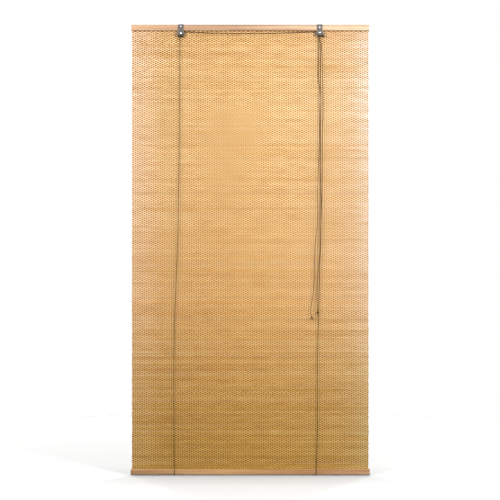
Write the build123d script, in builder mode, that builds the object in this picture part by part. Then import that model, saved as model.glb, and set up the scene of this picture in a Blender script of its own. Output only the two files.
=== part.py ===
from build123d import *
import math
import os

# A woven bamboo roll-up blind: two head battens clamp the top of the mat, two foot battens clamp
# its bottom, and two folded steel brackets carry the cord pulleys. X runs along the battens, Z is
# up and the front faces -Y. The origin lies midway between the two hanging holes, on the top faces
# of the brackets. All sizes are in millimetres.

os.makedirs("parts", exist_ok=True)

# ---- overall sizes ----
mat_width = 800.0
blind_drop = 1520.6  # from the top of the brackets to the underside of the foot battens
head_overhang = 1.0  # each end of the head battens beyond the mat's edge
foot_overhang = 4.0

# ---- mat and battens ----
mat_thickness = 3.2
mat_inset = 1.0  # the mat ends this far inside the battens' outer edges
head_height = 20.0
head_back_thickness = 6.0
foot_height = 19.0
foot_front_thickness = 6.5
foot_back_thickness = 6.5
batten_edge = 1.2  # radius of the battens' eased long edges

# ---- nails that hold each pair of battens together ----
nail_radius = 0.9
nail_head_radius = 2.0
nail_head_thickness = 0.7
nail_bite = 4.0  # depth of the nail's point in the front batten
nail_count = 6
nail_margin = 60.0  # first nail from the batten's end
mat_hole_clearance = 0.4  # between a nail and the mat round it

# ---- brackets ----
bracket_offset = 234.0  # each bracket from the middle of the blind
sheet = 1.2
sheet_bend = 0.8  # inside radius of a fold
strap_width = 19.0
hanging_hole_radius = 2.5
hole_to_batten = 8.0  # hanging hole to the back of the head battens
left_cheek_radius = 12.3
right_cheek_radius = 12.8
left_cheek_length = 3.2  # the round end of the left cheek's outline hangs this far below the axle
back_cheek_inset = 2.0  # the back cheeks are this much smaller all round
side_gap = 0.3  # between a wheel's side and what is next to it
batten_gap = 0.5  # between the back cheek and the underside of the head battens
wheel_to_batten = 0.7  # between the wheels' rims and the underside of the head battens
block_to_mat = 1.4  # between the mat and the deeper of the two pulley blocks
fold_width = 5.5  # the fold under the wheels that joins the two cheeks
left_fold_offset = 3.0  # middle of the fold, from the axle
right_fold_offset = -0.4

# ---- pulleys ----
wheel_radius = 6.5
left_wheel_width = 5.0
right_wheel_width = 3.8
rim_width = 0.35
cord_sink = 1.9  # a cord's centre line below the rim of the wheel it runs in
axle_radius = 1.55
axle_clearance = 0.05
rivet_head_radius = 3.3
rivet_head_height = 1.5
rivet_tail_radius = 2.6
rivet_tail_height = 0.9

# ---- bracket screws ----
screw_radius = 1.6
screw_length = 9.0
screw_head_radius = 3.3
screw_head_height = 1.9
screw_hole_clearance = 0.15
screw_point = 2.5  # length of the tapered point
screw_tip_radius = 0.64
recess_length = 3.7
recess_width = 0.8
recess_depth = 0.9
left_screw_drop = 7.0
right_screw_drop = 9.6

# ---- cord lock ----
cam_to_cord = 4.9  # middle of the cam's pin to the side of the draw cords
cam_drop = 5.1  # cam pin below the axle
cam_pin_radius = 1.25
cam_pin_head = 0.4
cam_pin_chamfer = 0.24
cam_hub_radius = 3.2
cam_nose_radius = 5.2
cam_nose_from = 208.0  # degrees, seen from the front, counter-clockwise from +X
cam_nose_to = 252.0
cam_tooth_depth = 0.5
cam_tooth_count = 5
cam_tail_length = 10.4
cam_tail_width = 3.0
cam_tail_angle = -42.0
cam_ear_radius = 4.4

# ---- cords ----
cord_radius = 1.1
cord_gap = 0.3  # between a cord and what it passes round
groove_gap = 0.3
cord_split_drop = 4.0  # the lift cords' moving stretches begin this far below the axles
arc_share = 0.45  # an easy arc's tangent, as a share of the shorter of its two runs
quarter_turn_share = 0.98  # of the groove's radius, where a cord goes half round a wheel
left_wheel_rise = 0.3  # the left draw cord's corner above the left groove, as it runs on sloping down
front_wheel_rise = 0.15
knot_radius = 2.7
knot_length = 5.0
tail_length = 9.0  # loose end below each pull knot

# ---- staples that hold the cords' fixed ends ----
staple_radius = 0.55
staple_bend = 0.88  # centre line's radius at the two bends
staple_side_gap = 0.15  # between the cord and each leg
staple_crown_gap = 0.1
staple_leg = 4.5  # depth of a leg in the back batten
staple_drop = 17.0  # below the bracket's top face
fixed_knot_drop = 10.0
knot_flat_gap = 0.1  # between a fixed end's knot and the batten it presses on
left_fixed_offset = -10.0  # each fixed end from the middle of its bracket
right_fixed_offset = -4.0

# ---- places and sizes worked out from the sizes above ----
head_width = mat_width + 2 * head_overhang
foot_width = mat_width + 2 * foot_overhang
right_block_depth = 3 * side_gap + 2 * right_wheel_width + sheet + rivet_tail_height
head_front_thickness = right_block_depth + block_to_mat
back_face = -hole_to_batten
mat_back = back_face - head_back_thickness
mat_front = mat_back - mat_thickness
front_face = mat_front - head_front_thickness
plate_front = front_face - sheet
foot_front = mat_front - foot_front_thickness
foot_back = mat_back + foot_back_thickness
head_top = -sheet
head_bottom = head_top - head_height
foot_bottom = -blind_drop
foot_top = foot_bottom + foot_height
axle_z = head_bottom - wheel_to_batten - wheel_radius
groove_radius = wheel_radius - cord_sink  # the cord's centre line round a wheel
left_x = -bracket_offset
right_x = bracket_offset

left_wheel_front = front_face + side_gap
left_wheel_y = left_wheel_front + left_wheel_width / 2
left_back_cheek = left_wheel_front + left_wheel_width + side_gap
front_wheel_front = front_face + side_gap
front_wheel_y = front_wheel_front + right_wheel_width / 2
rear_wheel_front = front_wheel_front + right_wheel_width + side_gap
rear_wheel_y = rear_wheel_front + right_wheel_width / 2
right_back_cheek = rear_wheel_front + right_wheel_width + side_gap

foot_cord_front = foot_front - cord_gap - cord_radius
foot_cord_back = foot_back + cord_gap + cord_radius
foot_cord_bottom = foot_bottom - cord_gap - cord_radius
foot_corner = batten_edge + cord_gap + cord_radius
fixed_cord_y = back_face + cord_gap + cord_radius


def nail_places(width):
    """X of each nail, spread evenly between the margins."""
    first = -width / 2 + nail_margin
    step = (width - 2 * nail_margin) / (nail_count - 1)
    return [first + step * n for n in range(nail_count)]


head_nails_x = nail_places(head_width)
foot_nails_x = nail_places(foot_width)
head_nail_z = head_bottom + head_height / 2
foot_nail_z = foot_bottom + foot_height / 2
screw_places = [(left_x, -left_screw_drop), (right_x, -right_screw_drop)]
fixed_cord_x = [left_x + left_fixed_offset, right_x + right_fixed_offset]
staple_half = cord_radius + staple_radius + staple_side_gap
staple_crown_y = fixed_cord_y + cord_radius + staple_radius + staple_crown_gap


def front_plane(y):
    """A plane facing the front at this depth, with its x along +X and its y along +Z."""
    return Plane(origin=(0, y, 0), x_dir=(1, 0, 0), z_dir=(0, -1, 0))


# ---- head battens ----
with BuildPart() as head_front_batten:
    with BuildSketch(front_plane(mat_front)):
        with Locations((0, (head_top + head_bottom) / 2)):
            Rectangle(head_width, head_height)
    extrude(amount=head_front_thickness)
    fillet(head_front_batten.edges().filter_by(Axis.X).group_by(Axis.Y)[0], batten_edge)
    with Locations(*[Plane((x, mat_front, head_nail_z), z_dir=(0, 1, 0)) for x in head_nails_x]):
        Cylinder(nail_radius, nail_bite, align=(Align.CENTER, Align.CENTER, Align.MAX),
                 mode=Mode.SUBTRACT)
    with Locations(*[Plane((x, front_face, z), z_dir=(0, -1, 0)) for x, z in screw_places]):
        Cylinder(screw_radius, screw_length - sheet, align=(Align.CENTER, Align.CENTER, Align.MAX),
                 mode=Mode.SUBTRACT)
head_front_batten.part.label = "head_front_batten"
export_step(head_front_batten.part, "parts/head_front_batten.step")

with BuildPart() as head_back_batten:
    with BuildSketch(front_plane(back_face)):
        with Locations((0, (head_top + head_bottom) / 2)):
            Rectangle(head_width, head_height)
    extrude(amount=head_back_thickness)
    fillet(head_back_batten.edges().filter_by(Axis.X).group_by(Axis.Y)[-1], batten_edge)
    with Locations(*[Plane((x, back_face, head_nail_z), z_dir=(0, 1, 0)) for x in head_nails_x]):
        CounterBoreHole(nail_radius, nail_head_radius, nail_head_thickness)
    for x in fixed_cord_x:
        for side in (-1, 1):
            with Locations(Plane((x + side * staple_half, back_face, -staple_drop), z_dir=(0, 1, 0))):
                Cylinder(staple_radius, staple_leg, align=(Align.CENTER, Align.CENTER, Align.MAX),
                         mode=Mode.SUBTRACT)
head_back_batten.part.label = "head_back_batten"
export_step(head_back_batten.part, "parts/head_back_batten.step")

# ---- the woven mat, as the plain slab it fills ----
mat_top = head_top - mat_inset
mat_bottom = foot_bottom + mat_inset
with BuildPart() as bamboo_mat:
    with BuildSketch(front_plane(mat_back)):
        with Locations((0, (mat_top + mat_bottom) / 2)):
            Rectangle(mat_width, mat_top - mat_bottom)
    extrude(amount=mat_thickness)
    with BuildSketch(front_plane(mat_back)):
        with Locations(*[(x, head_nail_z) for x in head_nails_x]):
            Circle(nail_radius + mat_hole_clearance)
        with Locations(*[(x, foot_nail_z) for x in foot_nails_x]):
            Circle(nail_radius + mat_hole_clearance)
    extrude(amount=mat_thickness, mode=Mode.SUBTRACT)
bamboo_mat.part.label = "bamboo_mat"
export_step(bamboo_mat.part, "parts/bamboo_mat.step")

# ---- foot battens ----
with BuildPart() as foot_front_batten:
    with BuildSketch(front_plane(mat_front)):
        with Locations((0, (foot_top + foot_bottom) / 2)):
            Rectangle(foot_width, foot_height)
    extrude(amount=foot_front_thickness)
    fillet(foot_front_batten.edges().filter_by(Axis.X).group_by(Axis.Y)[0], batten_edge)
    with Locations(*[Plane((x, mat_front, foot_nail_z), z_dir=(0, 1, 0)) for x in foot_nails_x]):
        Cylinder(nail_radius, nail_bite, align=(Align.CENTER, Align.CENTER, Align.MAX),
                 mode=Mode.SUBTRACT)
foot_front_batten.part.label = "foot_front_batten"
export_step(foot_front_batten.part, "parts/foot_front_batten.step")

with BuildPart() as foot_back_batten:
    with BuildSketch(front_plane(foot_back)):
        with Locations((0, (foot_top + foot_bottom) / 2)):
            Rectangle(foot_width, foot_height)
    extrude(amount=foot_back_thickness)
    fillet(foot_back_batten.edges().filter_by(Axis.X).group_by(Axis.Y)[-1], batten_edge)
    with Locations(*[Plane((x, foot_back, foot_nail_z), z_dir=(0, 1, 0)) for x in foot_nails_x]):
        CounterBoreHole(nail_radius, nail_head_radius, nail_head_thickness)
foot_back_batten.part.label = "foot_back_batten"
export_step(foot_back_batten.part, "parts/foot_back_batten.step")

# ---- nails, driven from the back through the mat into the front battens ----
head_nail_length = head_back_thickness + mat_thickness + nail_bite
with BuildPart() as head_nails:
    with Locations(*[Plane((x, back_face, head_nail_z), z_dir=(0, 1, 0)) for x in head_nails_x]):
        Cylinder(nail_head_radius, nail_head_thickness, align=(Align.CENTER, Align.CENTER, Align.MAX))
        Cylinder(nail_radius, head_nail_length, align=(Align.CENTER, Align.CENTER, Align.MAX))
head_nails.part.label = "head_nails"
export_step(head_nails.part, "parts/head_nails.step")

foot_nail_length = foot_back_thickness + mat_thickness + nail_bite
with BuildPart() as foot_nails:
    with Locations(*[Plane((x, foot_back, foot_nail_z), z_dir=(0, 1, 0)) for x in foot_nails_x]):
        Cylinder(nail_head_radius, nail_head_thickness, align=(Align.CENTER, Align.CENTER, Align.MAX))
        Cylinder(nail_radius, foot_nail_length, align=(Align.CENTER, Align.CENTER, Align.MAX))
foot_nails.part.label = "foot_nails"
export_step(foot_nails.part, "parts/foot_nails.step")

# ---- left bracket: hanging leg, strap, front cheek, fold and back cheek from one folded sheet ----
left_bottom = axle_z - left_cheek_length - left_cheek_radius
back_cheek_top = head_bottom - batten_gap
with BuildPart() as left_bracket:
    with BuildSketch(Plane.XY):
        with Locations((left_x, plate_front / 2)):
            Rectangle(strap_width, -plate_front)
        with Locations((left_x, 0)):
            Circle(strap_width / 2)
    extrude(amount=-sheet)
    with BuildSketch(front_plane(front_face)):
        with Locations((left_x, axle_z / 2)):
            Rectangle(strap_width, -axle_z)
        with Locations((left_x, axle_z)):
            Circle(left_cheek_radius)
        with Locations((left_x, axle_z - left_cheek_length / 2)):
            Rectangle(2 * left_cheek_radius, left_cheek_length)
        with Locations((left_x, axle_z - left_cheek_length)):
            Circle(left_cheek_radius)
        with Locations((left_x + left_fold_offset, (axle_z + left_bottom) / 2)):
            Rectangle(fold_width, axle_z - left_bottom)
    extrude(amount=sheet)
    left_depth = left_back_cheek + sheet - plate_front
    with BuildSketch(Plane.XY.offset(left_bottom)):
        with Locations((left_x + left_fold_offset, plate_front + left_depth / 2)):
            Rectangle(fold_width, left_depth)
    extrude(amount=sheet)
    with BuildSketch(front_plane(left_back_cheek + sheet)):
        with Locations((left_x, axle_z)):
            Circle(left_cheek_radius - back_cheek_inset)
        with Locations((left_x + left_fold_offset, (axle_z + left_bottom) / 2)):
            Rectangle(fold_width, axle_z - left_bottom)
        with Locations((left_x, back_cheek_top + left_cheek_radius)):
            Rectangle(2 * left_cheek_radius, 2 * left_cheek_radius, mode=Mode.SUBTRACT)
    extrude(amount=sheet)
    fillet(left_bracket.edges().filter_by(Axis.X).group_by(Axis.Y)[0].sort_by(Axis.Z)[-1],
           sheet + sheet_bend)
    left_low = left_bracket.edges().filter_by(Axis.X).group_by(Axis.Z)[0]
    fillet([left_low.sort_by(Axis.Y)[0], left_low.sort_by(Axis.Y)[-1]], sheet)
    with Locations((left_x, 0, 0)):
        Hole(hanging_hole_radius, sheet * 2)
    with Locations(Plane((left_x, plate_front, -left_screw_drop), z_dir=(0, -1, 0))):
        Hole(screw_radius + screw_hole_clearance, 2 * sheet)
    with Locations(Plane((left_x, plate_front, axle_z), z_dir=(0, -1, 0))):
        Hole(axle_radius, left_depth + sheet)
left_bracket.part.label = "left_bracket"
export_step(left_bracket.part, "parts/left_bracket.step")

# ---- right bracket: the same fold, wider for two wheels, with an ear for the cam's pin ----
right_bottom = axle_z - right_cheek_radius
cam_x = right_x + groove_radius + cord_radius + cam_to_cord
cam_z = axle_z - cam_drop
with BuildPart() as right_bracket:
    with BuildSketch(Plane.XY):
        with Locations((right_x, plate_front / 2)):
            Rectangle(strap_width, -plate_front)
        with Locations((right_x, 0)):
            Circle(strap_width / 2)
    extrude(amount=-sheet)
    with BuildSketch(front_plane(front_face)):
        with Locations((right_x, axle_z / 2)):
            Rectangle(strap_width, -axle_z)
        with Locations((right_x, axle_z)):
            Circle(right_cheek_radius)
        with Locations((cam_x, cam_z)):
            Circle(cam_ear_radius)
        with Locations((right_x + right_fold_offset, (axle_z + right_bottom) / 2)):
            Rectangle(fold_width, axle_z - right_bottom)
    extrude(amount=sheet)
    right_depth = right_back_cheek + sheet - plate_front
    with BuildSketch(Plane.XY.offset(right_bottom)):
        with Locations((right_x + right_fold_offset, plate_front + right_depth / 2)):
            Rectangle(fold_width, right_depth)
    extrude(amount=sheet)
    with BuildSketch(front_plane(right_back_cheek + sheet)):
        with Locations((right_x, axle_z)):
            Circle(right_cheek_radius - back_cheek_inset)
        with Locations((right_x + right_fold_offset, (axle_z + right_bottom) / 2)):
            Rectangle(fold_width, axle_z - right_bottom)
        with Locations((cam_x, cam_z)):
            Circle(cam_ear_radius)
        with Locations((right_x, back_cheek_top + right_cheek_radius)):
            Rectangle(2 * right_cheek_radius, 2 * right_cheek_radius, mode=Mode.SUBTRACT)
    extrude(amount=sheet)
    fillet(right_bracket.edges().filter_by(Axis.X).group_by(Axis.Y)[0].sort_by(Axis.Z)[-1],
           sheet + sheet_bend)
    right_low = right_bracket.edges().filter_by(Axis.X).group_by(Axis.Z)[0]
    fillet([right_low.sort_by(Axis.Y)[0], right_low.sort_by(Axis.Y)[-1]], sheet)
    with Locations((right_x, 0, 0)):
        Hole(hanging_hole_radius, sheet * 2)
    with Locations(Plane((right_x, plate_front, -right_screw_drop), z_dir=(0, -1, 0))):
        Hole(screw_radius + screw_hole_clearance, 2 * sheet)
    with Locations(Plane((right_x, plate_front, axle_z), z_dir=(0, -1, 0))):
        Hole(axle_radius, right_depth + sheet)
    with Locations(Plane((cam_x, plate_front, cam_z), z_dir=(0, -1, 0))):
        Hole(cam_pin_radius, right_depth + sheet)
right_bracket.part.label = "right_bracket"
export_step(right_bracket.part, "parts/right_bracket.step")


# ---- pulley wheels: a round-bottomed groove that opens towards the rim ----
groove_floor = groove_radius - cord_radius - groove_gap
groove_half = cord_radius + groove_gap
wheels = [
    ("left_wheel", left_x, left_wheel_y, left_wheel_width),
    ("right_front_wheel", right_x, front_wheel_y, right_wheel_width),
    ("right_rear_wheel", right_x, rear_wheel_y, right_wheel_width),
]
for name, x, y, width in wheels:
    half = width / 2
    bore = axle_radius + axle_clearance
    with BuildPart() as wheel:
        with BuildSketch(Plane(origin=(x, y, axle_z), x_dir=(0, 0, 1), z_dir=(1, 0, 0))):
            with BuildLine():
                Polyline((groove_radius, groove_half), (wheel_radius, half - rim_width), (wheel_radius, half),
                         (bore, half), (bore, -half), (wheel_radius, -half),
                         (wheel_radius, rim_width - half), (groove_radius, -groove_half))
                ThreePointArc((groove_radius, -groove_half), (groove_floor, 0),
                              (groove_radius, groove_half))
            make_face()
        revolve(axis=Axis((x, y, axle_z), (0, 1, 0)))
    wheel.part.label = name
    export_step(wheel.part, f"parts/{name}.step")


def dome_radius(base, height):
    """Radius of the sphere whose cap has this base radius and height."""
    return (base ** 2 + height ** 2) / (2 * height)


# ---- axle rivets: a domed head at the front and a flat one behind the back cheek ----
rivets = [("left_axle_rivet", left_x, left_depth), ("right_axle_rivet", right_x, right_depth)]
for name, x, length in rivets:
    with BuildPart() as rivet:
        with BuildSketch(Plane(origin=(x, plate_front, axle_z), x_dir=(0, 0, -1), z_dir=(1, 0, 0))):
            with BuildLine():
                Polyline((0, -rivet_head_height), (0, length + rivet_tail_height),
                         (rivet_tail_radius, length + rivet_tail_height), (rivet_tail_radius, length),
                         (axle_radius, length), (axle_radius, 0), (rivet_head_radius, 0))
                RadiusArc((rivet_head_radius, 0), (0, -rivet_head_height),
                          dome_radius(rivet_head_radius, rivet_head_height))
            make_face()
        revolve(axis=Axis((x, plate_front, axle_z), (0, 1, 0)))
    rivet.part.label = name
    export_step(rivet.part, f"parts/{name}.step")

# ---- bracket screws: a round head with a cross recess, through the strap into the front batten ----
screws = [("left_bracket_screw", *screw_places[0]), ("right_bracket_screw", *screw_places[1])]
for name, x, z in screws:
    with BuildPart() as screw:
        with BuildSketch(Plane(origin=(x, plate_front, z), x_dir=(0, 0, -1), z_dir=(1, 0, 0))):
            with BuildLine():
                Polyline((0, -screw_head_height), (0, screw_length), (screw_tip_radius, screw_length),
                         (screw_radius, screw_length - screw_point), (screw_radius, 0),
                         (screw_head_radius, 0))
                RadiusArc((screw_head_radius, 0), (0, -screw_head_height),
                          dome_radius(screw_head_radius, screw_head_height))
            make_face()
        revolve(axis=Axis((x, plate_front, z), (0, 1, 0)))
        with Locations((x, plate_front - screw_head_height + recess_depth / 2, z)):
            Box(recess_length, recess_depth, recess_width, mode=Mode.SUBTRACT)
            Box(recess_width, recess_depth, recess_length, mode=Mode.SUBTRACT)
    screw.part.label = name
    export_step(screw.part, f"parts/{name}.step")

# ---- cord lock: a toothed cam on a pin between the cheeks, with a tail as its counterweight ----
cam_front = front_face + side_gap
cam_width = right_back_cheek - side_gap - cam_front


def on_cam(radius, degrees):
    """A point round the cam's pin, in the front view."""
    turn = math.radians(degrees)
    return (cam_x + radius * math.cos(turn), cam_z + radius * math.sin(turn))


with BuildPart() as lock_cam:
    with BuildSketch(front_plane(cam_front + cam_width)):
        with Locations((cam_x, cam_z)):
            Circle(cam_hub_radius)
        with BuildLine():
            span = (cam_nose_to - cam_nose_from) / (2 * cam_tooth_count)
            teeth = [
                on_cam(cam_nose_radius - cam_tooth_depth * (n % 2), cam_nose_from + span * n)
                for n in range(2 * cam_tooth_count + 1)
            ]
            Polyline(on_cam(0, 0), *teeth, on_cam(0, 0))
        make_face()
        with Locations(Location(on_cam(cam_tail_length / 2, cam_tail_angle), cam_tail_angle)):
            SlotOverall(cam_tail_length + cam_tail_width, cam_tail_width)
    extrude(amount=cam_width)
    with Locations(Plane((cam_x, cam_front, cam_z), z_dir=(0, -1, 0))):
        Hole(cam_pin_radius + axle_clearance, 2 * cam_width)
lock_cam.part.label = "lock_cam"
export_step(lock_cam.part, "parts/lock_cam.step")

with BuildPart() as lock_cam_pin:
    with BuildSketch(front_plane(right_back_cheek + sheet + cam_pin_head)):
        with Locations((cam_x, cam_z)):
            Circle(cam_pin_radius)
    extrude(amount=right_depth + 2 * cam_pin_head)
    chamfer(lock_cam_pin.edges().filter_by(GeomType.CIRCLE), cam_pin_chamfer)
lock_cam_pin.part.label = "lock_cam_pin"
export_step(lock_cam_pin.part, "parts/lock_cam_pin.step")


# ---- cords ----
def corner_radii(points):
    """The largest easy arc at each corner, from its shorter run and the tangent of half its turn."""
    radii = []
    for before, corner, after in zip(points, points[1:], points[2:]):
        first = Vector(*corner) - Vector(*before)
        second = Vector(*after) - Vector(*corner)
        half_turn = math.radians(first.get_angle(second)) / 2
        radii.append(arc_share * min(first.length, second.length) / math.tan(half_turn))
    return radii


# The left lift cord runs down the front from the left wheel, round the foot battens and up the back.
wheel_top = axle_z + groove_radius
split_z = axle_z - cord_split_drop
left_side_x = left_x - groove_radius
left_lift_points = [
    (left_side_x, left_wheel_y, split_z),
    (-239.3, -26.2, -440.0),
    (-242.4, -26.0, -590.0),
    (-249.6, -25.8, -820.0),
    (-256.2, -25.5, -1000.0),
    (-258.2, -25.2, -1180.0),
    (-256.4, foot_cord_front, foot_cord_bottom),
    (-256.4, foot_cord_back, foot_cord_bottom),
    (fixed_cord_x[0], fixed_cord_y, split_z),
]

# The right lift cord does the same from the rear wheel.
rise_x = right_x - groove_radius
right_lift_points = [
    (rise_x, rear_wheel_y, split_z),
    (230.2, -23.1, -175.0),
    (236.4, -23.3, -240.0),
    (237.6, -23.6, -400.0),
    (239.2, -23.9, -560.0),
    (238.6, -24.1, -740.0),
    (232.6, -24.4, -860.0),
    (230.6, -24.6, -1010.0),
    (227.2, -24.7, -1120.0),
    (228.2, -24.8, -1290.0),
    (222.6, foot_cord_front, foot_cord_bottom),
    (222.6, foot_cord_back, foot_cord_bottom),
    (fixed_cord_x[1], fixed_cord_y, split_z),
]

# The left draw cord goes over the left wheel, sags across below the head battens, and goes over
# the front wheel of the right bracket and down.
draw_x = right_x + groove_radius
left_draw_points = [
    (left_side_x, left_wheel_y, split_z),
    (left_side_x, left_wheel_y, wheel_top + left_wheel_rise),
    (-196.0, -26.5, -25.9),
    (-140.0, -26.6, -28.2),
    (-80.0, -26.7, -29.3),
    (-20.0, -26.75, -29.7),
    (40.0, -26.8, -29.6),
    (100.0, -26.85, -28.7),
    (156.0, -26.9, -26.6),
    (draw_x, front_wheel_y, wheel_top + front_wheel_rise),
    (draw_x, front_wheel_y, -58.0),
    (238.0, -27.1, -118.0),
    (236.9, -27.3, -178.0),
    (235.9, -27.35, -238.0),
    (235.0, -27.4, -298.0),
    (233.9, -27.4, -358.0),
    (232.2, -27.5, -418.0),
    (229.8, -27.5, -478.0),
    (228.2, -27.6, -538.0),
    (227.5, -27.7, -598.0),
    (226.9, -27.7, -650.0),
    (225.4, -27.8, -698.0),
    (218.6, -27.9, -738.0),
    (216.9, -27.9, -784.0),
    (216.6, -27.9, -838.0),
    (215.0, -27.8, -888.0),
    (209.6, -27.7, -928.0),
    (203.6, -27.5, -958.0),
    (203.4, -27.4, -983.0),
]

# The right draw cord goes over the rear wheel and down beside it.
right_draw_points = [
    (rise_x, rear_wheel_y, split_z),
    (rise_x, rear_wheel_y, wheel_top),
    (draw_x, rear_wheel_y, wheel_top),
    (draw_x, rear_wheel_y, -52.0),
    (241.8, -24.7, -92.0),
    (244.2, -27.2, -150.0),
    (245.1, -28.0, -208.0),
    (246.4, -28.2, -266.0),
    (245.6, -28.3, -322.0),
    (243.2, -28.3, -378.0),
    (243.6, -28.4, -434.0),
    (244.4, -28.4, -490.0),
    (243.2, -28.5, -542.0),
    (240.4, -28.5, -594.0),
    (239.2, -28.6, -650.0),
    (237.4, -28.6, -706.0),
    (235.9, -28.6, -758.0),
    (232.2, -28.6, -808.0),
    (226.6, -28.5, -856.0),
    (224.4, -28.4, -902.0),
    (225.6, -28.2, -940.0),
    (227.2, -28.1, -966.0),
]

# Each cord's tube is straight runs joined by tangent arcs. The arcs are as easy as the runs allow,
# except at the numbered corners, where the cord goes round a wheel or a batten's edge.
half_round = groove_radius * quarter_turn_share  # leaves a short run between the two quarter turns
cords = [
    ("left_lift_cord", left_lift_points, {6: foot_corner, 7: foot_corner}),
    ("right_lift_cord", right_lift_points, {10: foot_corner, 11: foot_corner}),
    ("left_draw_cord", left_draw_points, {1: groove_radius, 9: groove_radius}),
    ("right_draw_cord", right_draw_points, {1: half_round, 2: half_round}),
]
cord_paths = {}
for name, points, hard_corners in cords:
    radii = corner_radii(points)
    for corner, radius in hard_corners.items():
        radii[corner - 1] = radius
    with BuildPart() as cord:
        with BuildLine() as path:
            FilletPolyline(*points, radius=radii)
        route = path.wire()
        with BuildSketch(Plane(origin=route @ 0, z_dir=route % 0)):
            Circle(cord_radius)
        sweep(path=route)
    cord.part.label = name
    export_step(cord.part, f"parts/{name}.step")
    cord_paths[name] = route
    section = math.pi * cord_radius ** 2
    print(name, "length", round(route.length, 1), "volume over section x length",
          round(cord.part.volume / (section * route.length), 4))
    print("  radii", [round(radius, 1) for radius in radii])

# ---- knots at the ends of the draw cords, each with the cord's loose tail beyond it ----
for name, cord_name in [("left_pull_knot", "left_draw_cord"), ("right_pull_knot", "right_draw_cord")]:
    end = cord_paths[cord_name] @ 1
    along = cord_paths[cord_name] % 1
    across = along.cross(Vector(0, 1, 0)).normalized()
    with BuildPart() as knot:
        with BuildSketch(Plane(origin=end, x_dir=across, z_dir=across.cross(along))):
            with BuildLine():
                Polyline((cord_radius, 0), (0, 0), (0, knot_length), (cord_radius, knot_length))
                ThreePointArc((cord_radius, knot_length), (knot_radius, knot_length / 2),
                              (cord_radius, 0))
            make_face()
        revolve(axis=Axis(end, along))
        with BuildSketch(Plane(origin=end + along * knot_length, z_dir=along)):
            Circle(cord_radius)
        extrude(amount=tail_length)
    knot.part.label = name
    export_step(knot.part, f"parts/{name}.step")

# ---- fixed ends of the lift cords: up the back batten to a round knot, flat where it presses on it ----
knot_z = -fixed_knot_drop
flat_y = back_face + knot_flat_gap
for name, x in [("left_fixed_end", fixed_cord_x[0]), ("right_fixed_end", fixed_cord_x[1])]:
    with BuildPart() as fixed_end:
        with BuildSketch(Plane.XY.offset(split_z)):
            with Locations((x, fixed_cord_y)):
                Circle(cord_radius)
        extrude(amount=knot_z - split_z)
        with Locations((x, fixed_cord_y, knot_z)):
            Sphere(knot_radius)
        split(bisect_by=Plane(origin=(x, flat_y, knot_z), z_dir=(0, 1, 0)), keep=Keep.TOP)
    fixed_end.part.label = name
    export_step(fixed_end.part, f"parts/{name}.step")

# ---- wire staples over the fixed ends, with both legs in the back batten ----
staple_end = back_face - staple_leg
for name, x in [("left_staple", fixed_cord_x[0]), ("right_staple", fixed_cord_x[1])]:
    with BuildPart() as staple:
        with BuildLine() as wire:
            FilletPolyline((x - staple_half, staple_end, -staple_drop),
                           (x - staple_half, staple_crown_y, -staple_drop),
                           (x + staple_half, staple_crown_y, -staple_drop),
                           (x + staple_half, staple_end, -staple_drop),
                           radius=staple_bend)
        bent_wire = wire.wire()
        with BuildSketch(Plane(origin=bent_wire @ 0, z_dir=bent_wire % 0)):
            Circle(staple_radius)
        sweep(path=bent_wire)
    staple.part.label = name
    export_step(staple.part, f"parts/{name}.step")
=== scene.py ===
import math
import random

import bpy
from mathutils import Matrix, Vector


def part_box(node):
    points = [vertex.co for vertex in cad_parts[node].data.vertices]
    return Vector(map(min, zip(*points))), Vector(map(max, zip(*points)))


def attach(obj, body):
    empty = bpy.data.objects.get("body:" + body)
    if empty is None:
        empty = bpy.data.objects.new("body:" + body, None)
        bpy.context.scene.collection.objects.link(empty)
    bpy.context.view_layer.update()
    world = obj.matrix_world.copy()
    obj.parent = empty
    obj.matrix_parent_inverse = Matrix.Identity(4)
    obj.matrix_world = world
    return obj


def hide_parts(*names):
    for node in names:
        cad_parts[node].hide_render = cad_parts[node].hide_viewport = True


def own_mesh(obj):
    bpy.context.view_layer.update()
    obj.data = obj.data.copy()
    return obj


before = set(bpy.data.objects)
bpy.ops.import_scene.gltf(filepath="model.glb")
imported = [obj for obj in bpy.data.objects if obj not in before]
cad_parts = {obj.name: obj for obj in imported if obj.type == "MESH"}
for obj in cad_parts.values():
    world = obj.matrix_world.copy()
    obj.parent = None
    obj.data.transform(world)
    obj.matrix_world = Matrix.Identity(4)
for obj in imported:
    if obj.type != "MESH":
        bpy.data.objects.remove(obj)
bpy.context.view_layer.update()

MM = 0.001

# ---- sizes of the woven mat, in millimetres ----
STICK_PITCH = 3.71
STICK_HEIGHT = 3.62
STICK_DEPTH = 1.9
STICK_RAGGED = 0.9  # how far stick ends vary
THREAD_PITCH = 7.61
THREAD_COLUMNS = 105
THREAD_WIDTH = 2.2
THREAD_DEPTH = 0.55
THREAD_SWING = 1.22  # a thread's centre line to the middle of the mat, over and under the sticks
THREAD_WANDER = 2.2  # a column of thread drifts sideways within this width

# ---- sizes of the cords, in millimetres ----
CORD_DIAMETER = 2.2
CORD_LAY = 6.6  # length in which the three strands make one turn
STRAND_RADIUS = 0.58
KNOT_RADIUS = 3.5
KNOT_LENGTH = 7.5
TAIL_LENGTH = 7.0
FIXED_TAIL_LENGTH = 4.0
FIBRES = 16  # loose ones at the end of a tail
BACK_RUN_Y = -6.6  # where the lift cords run up the back
FIXED_KNOT_Z = -12.6  # where their fixed ends' knots start

# ---- where colours change over the blind, in metres ----
SIDE_X = 0.4  # the mat's edges, left and right of the middle
FOOT_Z = -1.52
SHADE_FROM_Z = -0.0305  # no painted shade on the steel above this
SHADE_TO_Z = -0.0395
LIFT_RUN_LENGTH = 3.0  # a lift cord's run from its wheel round the foot to its fixed end

WHITE = (1.0, 1.0, 1.0, 1.0)


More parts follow.
